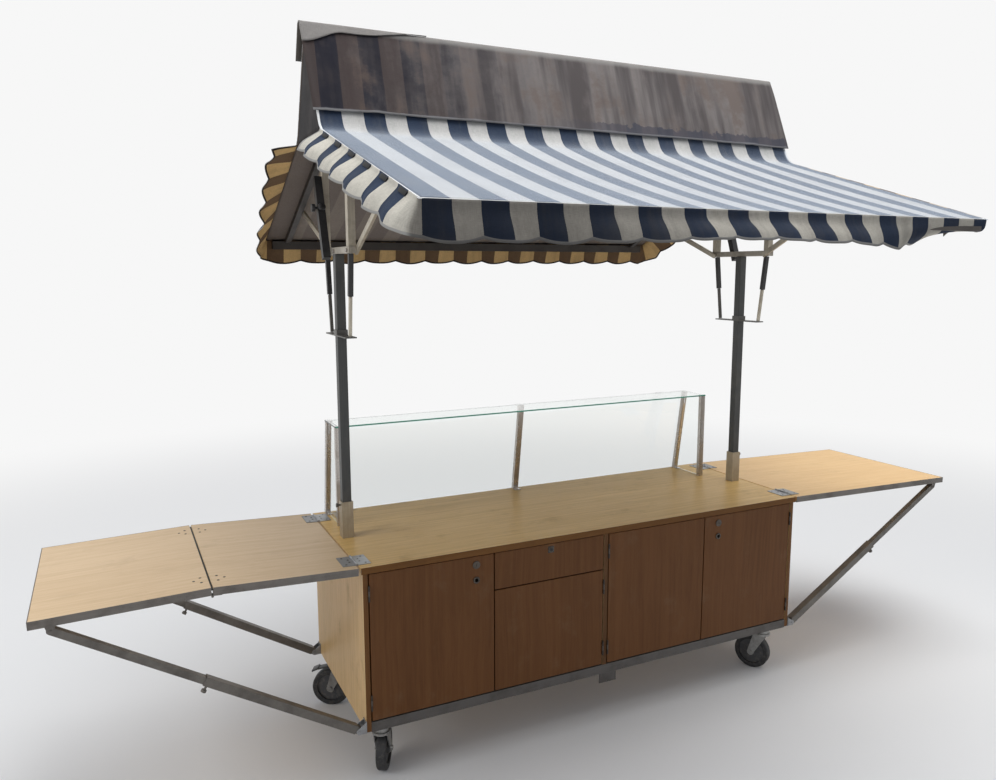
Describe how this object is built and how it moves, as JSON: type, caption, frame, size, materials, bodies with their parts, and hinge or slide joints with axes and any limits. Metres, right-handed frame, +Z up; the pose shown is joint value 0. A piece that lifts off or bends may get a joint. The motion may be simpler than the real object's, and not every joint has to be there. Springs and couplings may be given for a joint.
{
  "type": "market stall",
  "caption": "Mobile market stall: wooden counter cabinet on casters with doors, drawer and strutted fold-up leaves, glass guard and gabled striped canvas roof on two posts",
  "frame": {"origin": "on the floor, at the middle of the overall box", "axes": "+X along the counter to the right as the seller sees it, -Y towards the seller, +Z up"},
  "size_m": [4.0417, 2.125, 2.725],
  "materials": {
    "worktop_board": "clear-coated softwood board, lengthwise grain",
    "cabinet_board": "clear-coated softwood board",
    "door_board": "stained softwood board, upright grain",
    "steel_fittings": "galvanised steel",
    "caster_steel": "zinc-plated pressed steel",
    "caster_rubber": "black solid rubber tyre on a grey hub",
    "post_tube": "dark square steel tube",
    "black_tube": "black powder coat",
    "aluminium_profile": "mill-finish extruded profile",
    "canvas": "woven awning canvas, navy and off-white stripes",
    "cover_canvas": "weathered dark canvas",
    "guard_glass": "clear flat glass"
  },
  "bodies": {
    "counter": {"worktop": "worktop_board", "side_panels": "cabinet_board", "back_panel": "cabinet_board", "cabinet_floor": "cabinet_board", "partitions": "cabinet_board", "base_frame": "aluminium_profile", "strut_brackets": "steel_fittings", "worktop_hinges": "steel_fittings", "door_hinges": "steel_fittings", "post_sockets": "steel_fittings", "posts": "post_tube", "crossarms": "aluminium_profile", "head_struts": "aluminium_profile", "black_levers": "black_tube", "roof_rails": "aluminium_profile", "rafters": "aluminium_profile", "canopy_front": "canvas", "canopy_rear": "canvas", "ridge_cover": "cover_canvas", "ridge_ends": "cover_canvas", "front_valance": "canvas", "rear_valance": "canvas", "gable_valances": "canvas", "guard_top_glass": "guard_glass", "guard_side_glasses": "guard_glass", "guard_uprights": "aluminium_profile"},
    "door_1": {"door_1": "door_board", "door_1_fittings": "steel_fittings"},
    "door_2": {"door_2": "door_board", "door_2_fittings": "steel_fittings"},
    "door_3": {"door_3": "door_board", "door_3_fittings": "steel_fittings"},
    "door_4": {"door_4": "door_board", "door_4_fittings": "steel_fittings"},
    "drawer": {"drawer_front": "door_board", "drawer_box": "cabinet_board", "drawer_lock": "steel_fittings"},
    "left_leaf": {"left_inner_leaf": "worktop_board", "left_inner_trim": "aluminium_profile", "left_outer_leaf": "worktop_board", "left_outer_trim": "aluminium_profile"},
    "right_leaf": {"right_leaf": "worktop_board", "right_leaf_trim": "aluminium_profile"},
    "left_front_strut_lower": {"left_front_strut_lower": "aluminium_profile"},
    "left_front_strut_upper": {"left_front_strut_upper": "aluminium_profile"},
    "front_left_fork": {"front_left_fork": "caster_steel"},
    "front_left_wheel": {"front_left_wheel": "caster_rubber"},
    "left_rear_strut_lower": {"left_rear_strut_lower": "aluminium_profile"},
    "left_rear_strut_upper": {"left_rear_strut_upper": "aluminium_profile"},
    "rear_left_fork": {"rear_left_fork": "caster_steel"},
    "rear_left_wheel": {"rear_left_wheel": "caster_rubber"},
    "right_front_strut_lower": {"right_front_strut_lower": "aluminium_profile"},
    "right_front_strut_upper": {"right_front_strut_upper": "aluminium_profile"},
    "front_right_fork": {"front_right_fork": "caster_steel"},
    "front_right_wheel": {"front_right_wheel": "caster_rubber"},
    "right_rear_strut_lower": {"right_rear_strut_lower": "aluminium_profile"},
    "right_rear_strut_upper": {"right_rear_strut_upper": "aluminium_profile"},
    "rear_right_fork": {"rear_right_fork": "caster_steel"},
    "rear_right_wheel": {"rear_right_wheel": "caster_rubber"}
  },
  "joints": [
    {"name": "door_1_swing", "type": "hinge", "parent": "counter", "child": "door_1", "pos_m": [-0.9865, -0.2463, 0.5395], "axis": [0, 0, -1], "range_deg": [0, 100]},
    {"name": "door_2_swing", "type": "hinge", "parent": "counter", "child": "door_2", "pos_m": [-0.0115, -0.2463, 0.5395], "axis": [0, 0, 1], "range_deg": [0, 90]},
    {"name": "door_3_swing", "type": "hinge", "parent": "counter", "child": "door_3", "pos_m": [0.0115, -0.2463, 0.5395], "axis": [0, 0, -1], "range_deg": [0, 90]},
    {"name": "door_4_swing", "type": "hinge", "parent": "counter", "child": "door_4", "pos_m": [0.9865, -0.2463, 0.5395], "axis": [0, 0, 1], "range_deg": [0, 100]},
    {"name": "drawer_slide", "type": "slide", "parent": "counter", "child": "drawer", "axis": [0, -1, 0], "range_m": [0, 0.36]},
    {"name": "left_leaf_fold", "type": "hinge", "parent": "counter", "child": "left_leaf", "pos_m": [-1.017, 0.1125, 0.8465], "axis": [0, 1, 0], "range_deg": [0, 85]},
    {"name": "right_leaf_fold", "type": "hinge", "parent": "counter", "child": "right_leaf", "pos_m": [1.017, 0.1125, 0.8465], "axis": [0, -1, 0], "range_deg": [0, 85]},
    {"name": "left_front_strut_swing", "type": "hinge", "parent": "counter", "child": "left_front_strut_lower", "pos_m": [-1.033, -0.2275, 0.237], "axis": [0, 1, 0], "range_deg": [0, 58.7]},
    {"name": "left_front_strut_slide", "type": "slide", "parent": "left_front_strut_lower", "child": "left_front_strut_upper", "axis": [-0.8537, 0, 0.5208], "range_m": [-0.51, 0]},
    {"name": "left_rear_strut_swing", "type": "hinge", "parent": "counter", "child": "left_rear_strut_lower", "pos_m": [-1.033, 0.4525, 0.237], "axis": [0, 1, 0], "range_deg": [0, 58.7]},
    {"name": "left_rear_strut_slide", "type": "slide", "parent": "left_rear_strut_lower", "child": "left_rear_strut_upper", "axis": [-0.8537, 0, 0.5208], "range_m": [-0.51, 0]},
    {"name": "right_front_strut_swing", "type": "hinge", "parent": "counter", "child": "right_front_strut_lower", "pos_m": [1.033, -0.2275, 0.237], "axis": [0, -1, 0], "range_deg": [0, 59.9]},
    {"name": "right_front_strut_slide", "type": "slide", "parent": "right_front_strut_lower", "child": "right_front_strut_upper", "axis": [0.8643, 0, 0.5029], "range_m": [-0.51, 0]},
    {"name": "right_rear_strut_swing", "type": "hinge", "parent": "counter", "child": "right_rear_strut_lower", "pos_m": [1.033, 0.4525, 0.237], "axis": [0, -1, 0], "range_deg": [0, 59.9]},
    {"name": "right_rear_strut_slide", "type": "slide", "parent": "right_rear_strut_lower", "child": "right_rear_strut_upper", "axis": [0.8643, 0, 0.5029], "range_m": [-0.51, 0]},
    {"name": "front_left_swivel", "type": "hinge", "parent": "counter", "child": "front_left_fork", "pos_m": [-0.931, -0.1685, 0.202], "axis": [0, 0, 1], "continuous": true},
    {"name": "front_left_roll", "type": "hinge", "parent": "front_left_fork", "child": "front_left_wheel", "pos_m": [-0.90987, -0.12877, 0.08], "axis": [-0.8829, 0.4695, 0], "continuous": true},
    {"name": "front_right_swivel", "type": "hinge", "parent": "counter", "child": "front_right_fork", "pos_m": [0.931, -0.1685, 0.202], "axis": [0, 0, 1], "continuous": true},
    {"name": "front_right_roll", "type": "hinge", "parent": "front_right_fork", "child": "front_right_wheel", "pos_m": [0.90987, -0.12877, 0.08], "axis": [-0.8829, -0.4695, 0], "continuous": true},
    {"name": "rear_left_swivel", "type": "hinge", "parent": "counter", "child": "rear_left_fork", "pos_m": [-0.931, 0.3935, 0.202], "axis": [0, 0, 1], "continuous": true},
    {"name": "rear_left_roll", "type": "hinge", "parent": "rear_left_fork", "child": "rear_left_wheel", "pos_m": [-0.97073, 0.41463, 0.08], "axis": [-0.4695, -0.8829, 0], "continuous": true},
    {"name": "rear_right_swivel", "type": "hinge", "parent": "counter", "child": "rear_right_fork", "pos_m": [0.931, 0.3935, 0.202], "axis": [0, 0, 1], "continuous": true},
    {"name": "rear_right_roll", "type": "hinge", "parent": "rear_right_fork", "child": "rear_right_wheel", "pos_m": [0.89414, 0.36769, 0.08], "axis": [0.5736, -0.8192, 0], "continuous": true}
  ],
  "couplings": [
    {"joint": "left_front_strut_swing", "follows": "left_leaf_fold", "ratio": 0.6894},
    {"joint": "left_front_strut_slide", "follows": "left_leaf_fold", "m_per_rad": -0.3424},
    {"joint": "left_rear_strut_swing", "follows": "left_leaf_fold", "ratio": 0.6894},
    {"joint": "left_rear_strut_slide", "follows": "left_leaf_fold", "m_per_rad": -0.3424},
    {"joint": "right_front_strut_swing", "follows": "right_leaf_fold", "ratio": 0.7035},
    {"joint": "right_front_strut_slide", "follows": "right_leaf_fold", "m_per_rad": -0.3424},
    {"joint": "right_rear_strut_swing", "follows": "right_leaf_fold", "ratio": 0.7035},
    {"joint": "right_rear_strut_slide", "follows": "right_leaf_fold", "m_per_rad": -0.3424}
  ]
}
